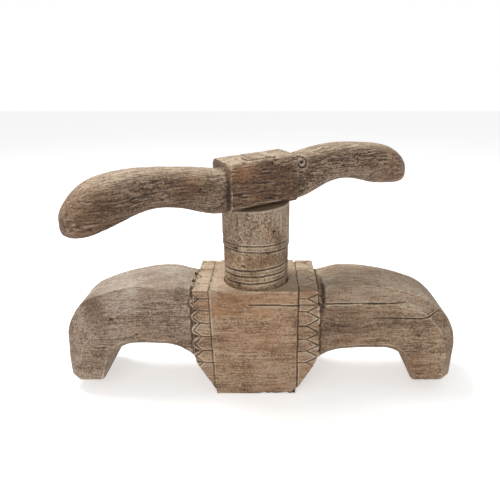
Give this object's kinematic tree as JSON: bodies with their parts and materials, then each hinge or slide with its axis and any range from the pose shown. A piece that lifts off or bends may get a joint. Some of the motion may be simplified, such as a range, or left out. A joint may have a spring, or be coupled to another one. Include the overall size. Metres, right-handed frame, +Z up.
{
  "type": "nutcracker",
  "caption": "Hand-carved wooden nutcracker: a ringed round plunger with a wavy cross handle presses down into a bored block that stands between two arched arms.",
  "frame": {"origin": "on the bore's axis, at the underside of the middle block, which the tool stands on", "axes": "+Z up along the bore; +X along the body's right arm; -Y is the front, which shows the block's narrow wall"},
  "size_m": [0.395, 0.1828, 0.2446],
  "materials": {
    "body_wood": "weathered, unfinished",
    "shaft_wood": "weathered, unfinished",
    "handle_wood": "worn by hands, unfinished",
    "wedge_wood": "weathered, unfinished",
    "iron": "dark, rusty brown",
    "nail_iron": "dark, rubbed bright on the heads"
  },
  "bodies": {
    "base": {"press_body": "body_wood", "anvil_plate": "iron", "anvil_nails": "nail_iron"},
    "foot": {"crusher_foot": "iron"},
    "plunger": {"plunger_shaft": "shaft_wood", "cross_handle": "handle_wood", "tenon_wedges": "wedge_wood", "handle_peg": "wedge_wood", "foot_pin": "nail_iron"}
  },
  "joints": [
    {"name": "plunger_lift", "type": "slide", "parent": "base", "child": "foot", "axis": [0, 0, 1], "range_m": [0, 0.08]},
    {"name": "plunger_turn", "type": "hinge", "parent": "foot", "child": "plunger", "pos_m": [0, 0, 0.046], "axis": [0, 0, 1], "continuous": true}
  ]
}
